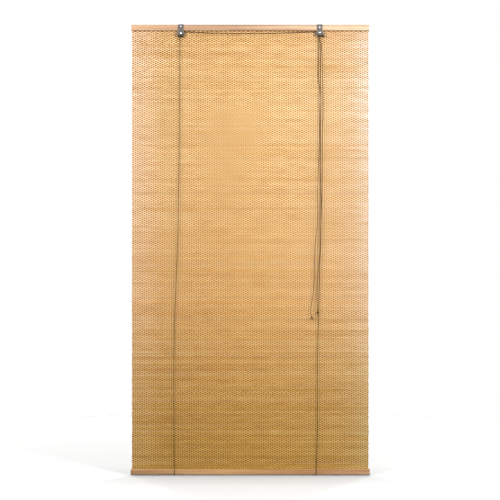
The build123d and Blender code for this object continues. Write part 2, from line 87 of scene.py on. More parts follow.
# ---- small helpers ----
def colour(code):
    """An sRGB hex colour as the linear colour that a shader takes."""
    parts = [int(code[n:n + 2], 16) / 255 for n in (0, 2, 4)]
    linear = [c / 12.92 if c <= 0.04045 else ((c + 0.055) / 1.055) ** 2.4 for c in parts]
    return (*linear, 1.0)


def add(tree, kind, links=None, stops=(), **settings):
    """Adds a node with its settings. links gives each input, by name or number, a node, a socket or a
    constant, and a node stands for its first output in use. stops are a colour ramp's places and hex
    colours."""
    made = tree.nodes.new(kind)
    for name, value in settings.items():
        setattr(made, name, value)
    for key, value in (links or {}).items():
        named = (entry for entry in made.inputs if entry.enabled and entry.name == key)
        socket = made.inputs[key] if isinstance(key, int) else next(named)
        if isinstance(value, bpy.types.Node):
            value = next(output for output in value.outputs if output.enabled)
        if isinstance(value, bpy.types.NodeSocket):
            tree.links.new(value, socket)
        else:
            socket.default_value = value
    if stops:
        elements = made.color_ramp.elements
        while len(elements) < len(stops):
            elements.new(0.5)
        for element, (at, code) in zip(elements, stops):
            element.position = at
            element.color = colour(code)
    return made


def place(name, mesh, material=None):
    """A new object at the origin that shows this mesh."""
    piece = bpy.data.objects.new(name, mesh)
    bpy.context.scene.collection.objects.link(piece)
    if material:
        mesh.materials.append(material)
    return piece


# ---- camera, light and floor ----
camera = bpy.data.objects.new("camera", bpy.data.cameras.new("camera"))
bpy.context.scene.collection.objects.link(camera)
bpy.context.scene.camera = camera
camera.data.lens = 100
camera.data.sensor_width = 36
VIEW_HEIGHT = 1.688  # metres of the blind's own plane that the picture takes in
VIEW_X, VIEW_Y, VIEW_Z = -0.0008, -0.025, -0.761  # the point of the blind's front that it looks at
distance = VIEW_HEIGHT * camera.data.lens / camera.data.sensor_width
camera.location = (VIEW_X, VIEW_Y - distance, VIEW_Z)
camera.rotation_euler = (math.radians(90), 0, 0)
camera.data.clip_end = 50

bpy.context.scene.view_settings.view_transform = "Standard"
# The room looks white all round. It lights the blind softly from above and only a little from below.
world = bpy.data.worlds.new("studio")
bpy.context.scene.world = world
world.use_nodes = True
room = world.node_tree
room.nodes.clear()
height = add(room, "ShaderNodeSeparateXYZ", {"Vector": add(room, "ShaderNodeTexCoord").outputs["Generated"]})
glow = add(room, "ShaderNodeMapRange", {"Value": height.outputs["Z"], "From Min": -0.3, "From Max": 0.3,
                                        "To Min": 0.16, "To Max": 0.5})
soft = add(room, "ShaderNodeBackground", {"Color": WHITE, "Strength": glow})
white = add(room, "ShaderNodeBackground", {"Color": WHITE, "Strength": 1.0})
seen = add(room, "ShaderNodeLightPath").outputs["Is Camera Ray"]
either = add(room, "ShaderNodeMixShader", {0: seen, 1: soft, 2: white})
add(room, "ShaderNodeOutputWorld", {"Surface": either})


def softbox(name, place_at, aim, size, power, depth=None):
    """A soft light of this width and depth, turned to its aim, or straight down where that is None."""
    lamp = bpy.data.objects.new(name, bpy.data.lights.new(name, "AREA"))
    bpy.context.scene.collection.objects.link(lamp)
    if depth:
        lamp.data.shape = "RECTANGLE"
        lamp.data.size_y = depth
    lamp.data.size = size
    lamp.data.energy = power
    lamp.location = place_at
    if aim:
        lamp.rotation_euler = (Vector(aim) - Vector(place_at)).to_track_quat("-Z", "Y").to_euler()
    lamp.visible_camera = False
    return lamp


softbox("right_light", (1.5, -2.2, 0.06), (0.1, 0, -0.3), 0.5, 95)
softbox("left_light", (-1.5, -2.2, 0.04), (-0.1, 0, -0.3), 0.5, 73)
overhead = softbox("overhead_light", (0, 0, 1.9), None, 2.2, 100, 0.5)
overhead.visible_glossy = False
softbox("back_right_light", (1.6, 2.3, 0.3), (0.1, 0, -0.4), 0.6, 62)
softbox("back_left_light", (-1.6, 2.3, 0.3), (-0.1, 0, -0.4), 0.6, 54)


# ---- materials ----
def new_material(name, **constants):
    """A material with its node tree and its Principled shader, whose named inputs get these constants."""
    made = bpy.data.materials.new(name)
    made.use_nodes = True
    made.node_tree.nodes.clear()
    shader = add(made.node_tree, "ShaderNodeBsdfPrincipled",
                 {key.replace("_", " "): value for key, value in constants.items()})
    add(made.node_tree, "ShaderNodeOutputMaterial", {"Surface": shader})
    return made, made.node_tree, shader


def tinted(tree, base, value, stops, strength=1.0):
    """The base colour times the stops' colours, which the value picks."""
    picked = add(tree, "ShaderNodeValToRGB", {0: value}, stops)
    return add(tree, "ShaderNodeMix", {"Factor": strength, "A": base, "B": picked}, data_type="RGBA",
               blend_type="MULTIPLY")


def graded(tree, base, value, start, end, stops):
    """The base colour times the stops' colours, which are spread over a value that runs from start to end."""
    share = add(tree, "ShaderNodeMapRange", {"Value": value, "From Min": start, "From Max": end})
    return tinted(tree, base, share, stops)


def mottled(tree, base, over, per_metre, stops, strength=1.0, detail=3.0, roughness=0.5):
    """The base colour times the stops' colours, which noise picks, and that noise. per_metre is how many
    patches of it go to a metre along each axis."""
    scaled = add(tree, "ShaderNodeVectorMath", {0: over, 1: per_metre}, operation="MULTIPLY")
    patches = add(tree, "ShaderNodeTexNoise",
                  {"Vector": scaled, "Scale": 1.0, "Detail": detail, "Roughness": roughness})
    return tinted(tree, base, patches, stops, strength), patches


def finished(tree, shader, base, height=None, strength=0.0, depth_mm=0.2):
    """Gives the shader its base colour, and a bump of this depth where height is given."""
    mixed_colour = base.outputs[2]  # of a Mix node's outputs, the one for colours
    tree.links.new(mixed_colour, shader.inputs["Base Color"])
    if height:
        bump = add(tree, "ShaderNodeBump",
                   {"Height": height, "Strength": strength, "Distance": depth_mm * MM})
        tree.links.new(bump.outputs["Normal"], shader.inputs["Normal"])


# The bamboo's colours from the head down to the foot: yellower towards the foot, and darker there partly as
# painted shade; and painted light over them from the left edge to the right, palest at the edges and the
# right.
DOWN_TONES_AND_SHADE = [(0.0, "e8d4c8"), (0.15, "ecdcd3"), (0.4, "e9d4c3"), (0.6, "e5cbb0"), (0.8, "d4b987"), (1.0, "c8ad69")]
SIDE_LIGHT_TINTS = [(0.0, "f6ebd8"), (0.06, "f5e7cb"), (0.13, "eedcac"), (0.4, "f1dda8"), (0.58, "f7e5b3"),
         (0.85, "f7e8c1"), (0.94, "faf1dc"), (0.98, "ffffff")]


# Split bamboo, woven raw: straw and tan sticks with a faint gloss on the skin side and long fibres. They have
# painted sheen where a thread passes behind and bends them forward, and painted shade where one passes over.
def make_bamboo():
    made, tree, shader = new_material("split_bamboo", Roughness=0.55, Specular_IOR_Level=0.3)
    rest = add(tree, "ShaderNodeAttribute", attribute_name="rest").outputs["Vector"]
    tone = add(tree, "ShaderNodeAttribute", attribute_name="tone").outputs["Fac"]
    order = add(tree, "ShaderNodeAttribute", attribute_name="order").outputs["Fac"]
    split = add(tree, "ShaderNodeSeparateXYZ", {"Vector": rest})
    # Partly painted shade: the stops darken towards the foot, where less light falls.
    base = graded(tree, WHITE, split.outputs["Z"], 0.0, FOOT_Z, DOWN_TONES_AND_SHADE)
    # Painted light: the stops lighten both edges and the right side, where the lamps fall strongest.
    base = graded(tree, base, split.outputs["X"], -SIDE_X, SIDE_X, SIDE_LIGHT_TINTS)
    bands = [(0.35, "f3ecdc"), (0.6, "ffffff")]
    streaks = [(0.35, "e0cca4"), (0.6, "ffffff")]
    base, _ = mottled(tree, base, rest, (1.6, 1.0, 70.0), bands, detail=2.0)
    base, _ = mottled(tree, base, rest, (16.0, 1.0, 130.0), streaks, 0.5)
    base = tinted(tree, base, tone, [(0.0, "dfd0b4"), (0.5, "ffffff"), (1.0, "fff6e8")], 0.45)
    base, fibres = mottled(tree, base, rest, (60.0, 900.0, 4200.0), [(0.3, "d8c8ac"), (0.6, "ffffff")], 0.5)
    half_turns = math.pi / (THREAD_PITCH * MM)
    across = add(tree, "ShaderNodeMath", {0: split.outputs["X"], 1: half_turns}, operation="MULTIPLY")
    down = add(tree, "ShaderNodeMath", {0: order, 1: math.pi}, operation="MULTIPLY")
    across = add(tree, "ShaderNodeMath", {0: across}, operation="COSINE")
    down = add(tree, "ShaderNodeMath", {0: down}, operation="COSINE")
    crown_sheen_and_shade = add(tree, "ShaderNodeMath", {0: across, 1: down}, operation="MULTIPLY")
    # Painted sheen makes the crowns palest, and painted shade is darkest where a thread passes over.
    base = graded(tree, base, crown_sheen_and_shade, 1.0, -1.0, [(0.0, "b6a688"), (0.5, "e2dfd8"), (1.0, "ffffff")])
    finished(tree, shader, base, fibres, 0.35)
    return made


# Brown cotton warp thread: matt and a little uneven in tone, darker towards the foot.
def make_thread():
    made, tree, shader = new_material("cotton_warp_thread", Roughness=0.9, Specular_IOR_Level=0.06)
    rest = add(tree, "ShaderNodeAttribute", attribute_name="rest").outputs["Vector"]
    split = add(tree, "ShaderNodeSeparateXYZ", {"Vector": rest})
    base = graded(tree, WHITE, split.outputs["Z"], 0.0, FOOT_Z, [(0.0, "5c3512"), (1.0, "422607")])
    base, _ = mottled(tree, base, rest, (120.0, 400.0, 120.0), [(0.3, "b0a090"), (0.7, "ffffff")], detail=2.0)
    finished(tree, shader, base)
    return made


# Planed light hardwood, sanded and left raw: fine grain along the batten, a satin surface. Its tone drifts
# along its length, on the head batten partly as painted light, and painted shade darkens its lower, rounded
# edge.
def make_wood(name, along, painted_shade_from, painted_shade_to, painted_shade_code):
    made, tree, shader = new_material(name, Roughness=0.5)
    place_in = add(tree, "ShaderNodeTexCoord").outputs["Object"]
    split = add(tree, "ShaderNodeSeparateXYZ", {"Vector": place_in})
    base = graded(tree, WHITE, split.outputs["X"], -SIDE_X, SIDE_X, along)
    figure = [(0.35, "dccbbc"), (0.6, "ffffff")]
    base, _ = mottled(tree, base, place_in, (1.7, 40.0, 90.0), figure)
    # Growth rings round a heart behind the batten, drawn out along it.
    bent = add(tree, "ShaderNodeVectorMath", {0: place_in, 1: (0.06, 1.0, 1.0)}, operation="MULTIPLY")
    heart = add(tree, "ShaderNodeVectorMath", {0: bent, 1: (0.0, 0.035, -0.03)}, operation="SUBTRACT")
    rings = add(tree, "ShaderNodeTexWave", {"Vector": heart, "Scale": 95.0, "Distortion": 3.0, "Detail": 2.0,
                                            "Detail Scale": 0.5}, wave_type="RINGS", rings_direction="X")
    base = tinted(tree, base, rings.outputs["Fac"], [(0.0, "d8bfa4"), (0.7, "ffffff")], 0.5)
    grain_tones = [(0.35, "d9bfa6"), (0.6, "ffffff")]
    pore_tones = [(0.3, "d8c8b8"), (0.5, "ffffff")]
    base, grain = mottled(tree, base, place_in, (9.0, 500.0, 700.0), grain_tones, 0.7, 4.0, 0.6)
    base, _ = mottled(tree, base, place_in, (70.0, 2500.0, 3000.0), pore_tones, 0.5, 2.0)
    # Painted shade along the batten's lower edge, which turns away from the light.
    base = graded(tree, base, split.outputs["Z"], painted_shade_from, painted_shade_to, [(0.0, "ffffff"), (1.0, painted_shade_code)])
    finished(tree, shader, base, grain, 0.25)
    return made


# Three-strand twisted cotton cord: matt, with fibres along each strand, and darker along a lift cord's run
# near the foot.
def make_cord(name, pale, dark, foot_code="ffffff"):
    made, tree, shader = new_material(name, Roughness=0.9, Specular_IOR_Level=0.08)
    lay = add(tree, "ShaderNodeUVMap", uv_map="lay")
    run = add(tree, "ShaderNodeSeparateXYZ", {"Vector": lay}).outputs["Y"]
    base, fibres = mottled(tree, WHITE, lay, (6.0, 500.0, 1.0), [(0.3, dark), (0.7, pale)])
    base, _ = mottled(tree, base, lay, (0.0, 14.0, 1.0), [(0.35, "d0c0a8"), (0.6, "ffffff")], detail=2.0)
    near_foot_darker = [(0.1, "ffffff"), (0.36, foot_code), (0.64, foot_code), (0.9, "ffffff")]
    # Darker along the middle of a lift cord's run, near the foot.
    base = graded(tree, base, run, 0.0, LIFT_RUN_LENGTH, near_foot_darker)
    finished(tree, shader, base, fibres, 0.4)
    return made


# Pressed sheet steel, zinc plated and dulled: grey with a cloudy spangle and fine rolling lines. Painted
# shade makes the lowest edges of the brackets darker and brown.
def make_steel(name, light_code, dark_code, rough, line_depth):
    made, tree, shader = new_material(name, Metallic=1.0)
    place_in = add(tree, "ShaderNodeTexCoord").outputs["Object"]
    tones = [(0.3, dark_code), (0.7, light_code)]
    base, clouds = mottled(tree, WHITE, place_in, (220.0, 220.0, 220.0), tones)
    split = add(tree, "ShaderNodeSeparateXYZ", {"Vector": place_in})
    # Painted shade on the brackets' lowest edges, which face away from the light.
    base = graded(tree, base, split.outputs["Z"], SHADE_FROM_Z, SHADE_TO_Z,
                  [(0.0, "ffffff"), (1.0, "94826c")])
    shine = add(tree, "ShaderNodeMapRange", {"Value": clouds, "From Min": 0.3, "From Max": 0.7,
                                             "To Min": rough + 0.08, "To Max": rough - 0.05})
    tree.links.new(shine.outputs["Result"], shader.inputs["Roughness"])
    lines_per_metre = (2600.0, 2600.0, 160.0)
    scaled = add(tree, "ShaderNodeVectorMath", {0: place_in, 1: lines_per_metre}, operation="MULTIPLY")
    lines = add(tree, "ShaderNodeTexNoise", {"Vector": scaled, "Scale": 1.0, "Detail": 2.0})
    finished(tree, shader, base, lines, line_depth, 0.1)
    return made


# Moulded nylon pulley wheels: milky white, softly glossy.
def make_nylon():
    made, tree, shader = new_material("moulded_nylon", Roughness=0.4, IOR=1.53)
    place_in = add(tree, "ShaderNodeTexCoord").outputs["Object"]
    tones = [(0.3, "d8d4c8"), (0.7, "ece9e0")]
    base, _ = mottled(tree, WHITE, place_in, (150.0, 150.0, 150.0), tones, detail=2.0)
    finished(tree, shader, base)
    return made


bamboo = make_bamboo()
thread = make_thread()
# Along the head batten, partly painted light: palest at both ends and most at the right, where the lamps fall
# strongest.
head_tones_and_light = [(0.0, "b99a78"), (0.2, "ab8f72"), (0.45, "a3886e"), (0.65, "b0987c"), (0.85, "c8bca2")]
foot_tones = [(0.0, "a2825c"), (0.4, "be9c68"), (0.8, "ac875c"), (1.0, "b3916a")]
# The last three values paint shade on each batten's lower edge.
head_wood = make_wood("planed_head_wood", head_tones_and_light, -0.0165, -0.0212, "dcc0a0")
foot_wood = make_wood("planed_foot_wood", foot_tones, -1.5150, -1.5206, "5e4e3e")
lift_cotton = make_cord("waxed_cotton_lift_cord", "54300a", "1c0d02", "4c3618")
draw_cotton = make_cord("twisted_cotton_draw_cord", "6e3e08", "281200")
# Painted shade: the knots' cotton is darker than the draw cord's, standing in for the shade in and under each
# knot.
shaded_knot_cotton = make_cord("cotton_knot_painted_shade", "2c1604", "0c0501")
bracket_steel = make_steel("zinc_plated_sheet", "6e6965", "4a4642", 0.42, 0.15)
cam_steel = make_steel("zinc_plated_cam", "a29a92", "7a726b", 0.4, 0.1)
bright_steel = make_steel("nickel_plated_heads", "efedf1", "d8d4d6", 0.33, 0.05)
nail_steel = make_steel("bright_wire_nails", "b8b4ae", "8e8a84", 0.38, 0.1)
nylon = make_nylon()

# Matt studio paper, grey enough that the lights bring it just to white: any brighter and thin cords in front
# of it wash out. It is a little greyer in the middle, where the lights meet.
floor_paper, floor_tree, floor_shader = new_material("matt_white_paper", Roughness=1.0,
                                                     Specular_IOR_Level=0.0)
floor_place = add(floor_tree, "ShaderNodeTexCoord").outputs["Object"]
flat_place = add(floor_tree, "ShaderNodeVectorMath", {0: floor_place, 1: (1.0, 1.0, 0.0)},
                 operation="MULTIPLY")
reach = add(floor_tree, "ShaderNodeVectorMath", {0: flat_place}, operation="LENGTH")
paper_grey = graded(floor_tree, WHITE, reach, 0.4, 1.6, [(0.0, "aeaeae"), (1.0, "b7b7b7")])
finished(floor_tree, floor_shader, paper_grey)

FLOOR_Z = -1.5245
FLOOR_RADIUS = 1.8
floor_mesh = bpy.data.meshes.new("floor")
turns = [n * math.pi / 32 for n in range(64)]
rim = [(FLOOR_RADIUS * math.cos(turn), FLOOR_RADIUS * math.sin(turn), FLOOR_Z) for turn in turns]
floor_mesh.from_pydata(rim, [], [range(64)])
floor = place("floor", floor_mesh, floor_paper)
floor.visible_diffuse = False  # so that it doesn't light the blind from below
floor.visible_glossy = False


# ---- cords ----
def spline_points(name, route):
    """Points along the smooth NURBS line of a route: (x, y, z) or (x, y, z, weight), in millimetres."""
    curve = bpy.data.curves.new(name + "_line", "CURVE")
    curve.dimensions = "3D"
    curve.resolution_u = 24
    spline = curve.splines.new("NURBS")
    spline.points.add(len(route) - 1)
    for point, at in zip(spline.points, route):
        weight = at[3] if len(at) > 3 else 1.0
        point.co = (at[0] * MM, at[1] * MM, at[2] * MM, weight)
    spline.order_u = 3
    spline.use_endpoint_u = True
    holder = bpy.data.objects.new(name + "_line", curve)
    bpy.context.scene.collection.objects.link(holder)
    line = bpy.data.meshes.new_from_object(holder)
    points = [v.co.copy() for v in line.vertices]
    bpy.data.objects.remove(holder)
    bpy.data.curves.remove(curve)
    bpy.data.meshes.remove(line)
    return points


def evenly(points, step):
    """The same line with points a step apart."""
    lengths = [(b - a).length for a, b in zip(points, points[1:])]
    total = sum(lengths)
    count = max(2, round(total / step))
    out, index, passed = [points[0].copy()], 0, 0.0
    for n in range(1, count):
        wanted = total * n / count
        while passed + lengths[index] < wanted:
            passed += lengths[index]
            index += 1
        share = (wanted - passed) / lengths[index]
        out.append(points[index].lerp(points[index + 1], share))
    out.append(points[-1].copy())
    return out


def twisted(name, points, material, strands=3, sides=5, steps_a_turn=7, start_turn=0.0, swell=1.0):
    """A cord's strands laid round its line, each a closed tube, as one mesh."""
    centre = STRAND_RADIUS * MM * 0.9 * swell
    thick = STRAND_RADIUS * MM * swell
    line = evenly(points, CORD_LAY * MM / steps_a_turn)
    end = len(line) - 1
    tangents = [(line[min(n + 1, end)] - line[max(n - 1, 0)]).normalized() for n in range(end + 1)]
    normal = tangents[0].orthogonal().normalized()
    frames, along = [], 0.0
    for n, tangent in enumerate(tangents):
        if n:
            along += (line[n] - line[n - 1]).length
            normal = (normal - tangent * normal.dot(tangent)).normalized()
        frames.append((normal.copy(), tangent.cross(normal), along))
    vertices, faces, lay = [], [], []
    for strand in range(strands):
        first = len(vertices)
        for at, (side, other, run) in zip(line, frames):
            turn = 2 * math.pi * (run / (CORD_LAY * MM) + strand / strands + start_turn)
            outward = side * math.cos(turn) + other * math.sin(turn)
            sideways = other * math.cos(turn) - side * math.sin(turn)
            for k in range(sides):
                angle = 2 * math.pi * k / sides
                out = outward * (centre + thick * math.cos(angle))
                vertices.append(at + out + sideways * thick * math.sin(angle))
                lay.append((k / sides + strand, run))
        for n in range(end):
            for k in range(sides):
                a, b = first + n * sides + k, first + n * sides + (k + 1) % sides
                faces.append((a, b, b + sides, a + sides))
        last = first + end * sides
        faces.append(tuple(first + k for k in reversed(range(sides))))
        faces.append(tuple(last + k for k in range(sides)))
    mesh = bpy.data.meshes.new(name)
    mesh.from_pydata(vertices, [], faces)
    uv = mesh.uv_layers.new(name="lay")
    for loop in mesh.loops:
        uv.data[loop.index].uv = lay[loop.vertex_index]
    mesh.shade_smooth()
    return place(name, mesh, material), line


# Each route's points are its control points. A weight draws the line closer to a corner that it goes
# tightly round, and the extra points six diameters from such a corner keep the run beside it straight.
EDGE = 3.0
WHEEL = 2.0
lift_routes = {
    "left_lift_cord": [
        (-238.6, -26.4, -32.4), (-239.3, -26.2, -440.0), (-241.6, -26.0, -590.0), (-247.6, -25.8, -820.0),
        (-256.2, -25.5, -1000.0), (-258.2, -25.2, -1180.0), (-256.4, -25.1, -1508.8),
        (-256.4, -25.1, -1522.0, EDGE), (-256.4, -6.1, -1522.0, EDGE), (-256.3, -6.1, -1508.8),
        (-244.0, -6.6, -32.4)],
    "right_lift_cord": [
        (229.4, -22.9, -32.4), (230.2, -23.1, -175.0), (236.4, -23.3, -240.0), (237.6, -23.6, -400.0),
        (239.2, -23.9, -560.0), (238.6, -24.1, -740.0), (232.6, -24.4, -860.0), (230.6, -24.6, -1010.0),
        (227.2, -24.7, -1120.0), (228.2, -24.8, -1290.0), (222.6, -25.1, -1508.8),
        (222.6, -25.1, -1522.0, EDGE), (222.6, -6.1, -1522.0, EDGE), (222.7, -6.1, -1508.8),
        (230.0, -6.6, -32.4)],
}
draw_routes = {
    "left_draw_cord": [
        (-238.6, -26.4, -32.4), (-238.6, -26.4, -23.5, WHEEL), (-225.4, -26.45, -24.3),
        (-196.0, -26.5, -25.9), (-140.0, -26.6, -28.2), (-80.0, -26.7, -29.3), (-20.0, -26.75, -29.7),
        (40.0, -26.8, -29.6), (100.0, -26.85, -28.7), (156.0, -26.9, -26.6), (225.4, -27.0, -24.2),
        (238.6, -27.0, -23.65, WHEEL), (238.6, -27.0, -37.0), (238.6, -27.0, -58.0),
        (238.0, -27.1, -118.0), (236.9, -27.3, -178.0), (235.9, -27.35, -238.0), (235.0, -27.4, -298.0),
        (233.9, -27.4, -358.0), (232.2, -27.5, -418.0), (229.8, -27.5, -478.0), (228.2, -27.6, -538.0),
        (227.5, -27.7, -598.0), (226.9, -27.7, -650.0), (225.4, -27.8, -698.0), (218.6, -27.9, -738.0),
        (216.9, -27.9, -784.0), (216.6, -27.9, -838.0), (215.0, -27.8, -888.0), (209.6, -27.7, -928.0),
        (203.8, -27.5, -958.0), (203.8, -27.4, -977.0), (207.0, -27.4, -986.0)],
    "right_draw_cord": [
        (229.4, -22.9, -32.4), (229.4, -22.9, -23.8, WHEEL), (238.6, -22.9, -23.8, WHEEL),
        (238.6, -22.9, -37.0), (238.6, -22.9, -52.0), (241.8, -24.7, -92.0), (244.2, -27.2, -150.0),
        (245.1, -28.0, -208.0), (246.4, -28.2, -266.0), (245.6, -28.3, -322.0), (243.2, -28.3, -378.0),
        (243.6, -28.4, -434.0), (244.4, -28.4, -490.0), (243.2, -28.5, -542.0), (240.4, -28.5, -594.0),
        (239.2, -28.6, -650.0), (237.4, -28.6, -706.0), (235.9, -28.6, -758.0), (232.2, -28.6, -808.0),
        (226.6, -28.5, -856.0), (224.4, -28.4, -902.0), (225.6, -28.2, -940.0), (226.6, -28.1, -969.0)],
}


def joined(name, pieces):
    """Several new pieces as one mesh."""
    with bpy.context.temp_override(active_object=pieces[0], selected_editable_objects=pieces,
                                   selected_objects=pieces, object=pieces[0]):
        bpy.ops.object.join()
    pieces[0].name = name
    pieces[0].data.name = name
    return pieces[0]


def frayed(name, start, along, count, length, seed):
    """A cord's loose fibres beyond its end: thin tapered threads that fan out a little."""
    dice = random.Random(seed)
    side = along.orthogonal().normalized()
    other = along.cross(side)
    vertices, faces = [], []
    for fibre in range(count):
        turn = 2 * math.pi * fibre / count + dice.uniform(-0.3, 0.3)
        out = side * math.cos(turn) + other * math.sin(turn)
        root = start + out * dice.uniform(0.2, 0.8) * MM
        reach, fan = length * dice.uniform(0.6, 1.1), dice.uniform(0.2, 1.3) * MM
        first = len(vertices)
        rings = 5
        for n in range(rings):
            share = n / (rings - 1)
            middle = root + along * reach * share + out * fan * share ** 2
            thick = 0.22 * MM * (1 - 0.75 * share)
            for k in range(3):
                angle = 2 * math.pi * k / 3
                vertices.append(middle + side * thick * math.cos(angle) + other * thick * math.sin(angle))
        for n in range(rings - 1):
            for k in range(3):
                a, b = first + 3 * n + k, first + 3 * n + (k + 1) % 3
                faces.append((a, b, b + 3, a + 3))
        faces.append((first + 2, first + 1, first))
        faces.append((first + 3 * rings - 3, first + 3 * rings - 2, first + 3 * rings - 1))
    mesh = bpy.data.meshes.new(name)
    mesh.from_pydata(vertices, [], faces)
    mesh.uv_layers.new(name="lay")
    mesh.shade_smooth()
    return place(name, mesh, shaded_knot_cotton)


def tied_knot(name, start, along, tail, seed):
    """A stopper knot: the cord wound round itself, then its tail and frayed fibres."""
    side = along.orthogonal().normalized()
    other = along.cross(side)
    wound = (KNOT_RADIUS - CORD_DIAMETER / 2) * MM
    turns, per_turn = 2.4, 16
    coil = []
    for n in range(round(turns * per_turn) + 1):
        share = n / (turns * per_turn)
        angle = 2 * math.pi * turns * share
        height = (CORD_DIAMETER / 2 + (KNOT_LENGTH - CORD_DIAMETER) * share) * MM
        coil.append(start + along * height + (side * math.cos(angle) + other * math.sin(angle)) * wound)
    core = [start, start + along * KNOT_LENGTH * MM]
    parts = [twisted(name, coil, shaded_knot_cotton)[0], twisted(name + "_core", core, shaded_knot_cotton, swell=0.9)[0]]
    if tail:
        first = start + along * KNOT_LENGTH * MM
        last = first + along * tail * 0.6 * MM
        parts.append(twisted(name + "_tail", [first, last], shaded_knot_cotton)[0])
        parts.append(frayed(name + "_fray", last, along, FIBRES, tail * 0.4 * MM, seed))
    return joined(name, parts)


cord_lines = {}
for name, route in {**lift_routes, **draw_routes}.items():
    cotton = lift_cotton if name in lift_routes else draw_cotton
    piece, line = twisted(name + "_strands", spline_points(name, route), cotton)
    cord_lines[name] = (piece, line)

for side_name, seed in (("left", 3), ("right", 8)):
    line = cord_lines[side_name + "_draw_cord"][1]
    along = (line[-1] - line[-4]).normalized()
    knot = tied_knot(side_name + "_pull_knot_tied", line[-1], along, TAIL_LENGTH, seed)
    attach(knot, "head")
    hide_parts(side_name + "_pull_knot")

for side_name in ("left", "right"):
    low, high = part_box(side_name + "_fixed_end")
    x = (low.x + high.x) / 2
    start = Vector((x, BACK_RUN_Y * MM, low.z))
    up = Vector((0, 0, 1))
    top = Vector((x, BACK_RUN_Y * MM, FIXED_KNOT_Z * MM))
    shank = twisted(side_name + "_fixed_shank", [start, top], lift_cotton)[0]
    knot = tied_knot(side_name + "_fixed_knot", top, up, FIXED_TAIL_LENGTH, 5)
    piece = joined(side_name + "_fixed_end_tied", [shank, knot])
    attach(piece, "head")
    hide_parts(side_name + "_fixed_end")


for name, (piece, line) in cord_lines.items():
    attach(piece, "head")
    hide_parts(name)
    side_name = name.split("_")[0]
    if name in lift_routes:
        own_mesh(piece)

# ---- the woven mat ----
mat_low, mat_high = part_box("bamboo_mat")
mat_middle_y = (mat_low.y + mat_high.y) / 2
stick_count = int((mat_high.z - mat_low.z) / (STICK_PITCH * MM))
first_stick_z = mat_high.z - STICK_PITCH * MM / 2


def new_tree(name, *sizes):
    """A Geometry Nodes tree whose named inputs are (name, value) sizes. Returns it and their sockets."""
    tree = bpy.data.node_groups.new(name, "GeometryNodeTree")
    tree.interface.new_socket(name="Geometry", in_out="OUTPUT", socket_type="NodeSocketGeometry")
    kinds = {int: "NodeSocketInt", float: "NodeSocketFloat", bpy.types.Material: "NodeSocketMaterial"}
    values = {}
    for size_name, value in sizes:
        socket = tree.interface.new_socket(name=size_name, in_out="INPUT", socket_type=kinds[type(value)])
        values[socket.identifier] = value
    entry = add(tree, "NodeGroupInput")
    return tree, {name: entry.outputs[name] for name, _ in sizes}, values


def grown(name, tree, values):
    """The plain mesh that a tree makes, as a new object."""
    piece = place(name, bpy.data.meshes.new(name))
    modifier = piece.modifiers.new("tree", "NODES")
    modifier.node_group = tree
    for identifier, value in values.items():
        modifier[identifier] = value
    piece.update_tag()
    evaluated = piece.evaluated_get(bpy.context.evaluated_depsgraph_get())
    mesh = bpy.data.meshes.new_from_object(evaluated)
    piece.modifiers.clear()
    piece.data = mesh
    mesh.name = name
    return piece


def end_tree(tree, geometry, material):
    """Keeps each point's place at rest for the material, then realizes and gives the material."""
    place_now = add(tree, "GeometryNodeInputPosition")
    kept = add(tree, "GeometryNodeStoreNamedAttribute",
               {"Geometry": geometry, "Name": "rest", "Value": place_now},
               data_type="FLOAT_VECTOR", domain="POINT")
    real = add(tree, "GeometryNodeRealizeInstances", {"Geometry": kept})
    painted = add(tree, "GeometryNodeSetMaterial", {"Geometry": real, "Material": material})
    add(tree, "NodeGroupOutput", {"Geometry": painted})


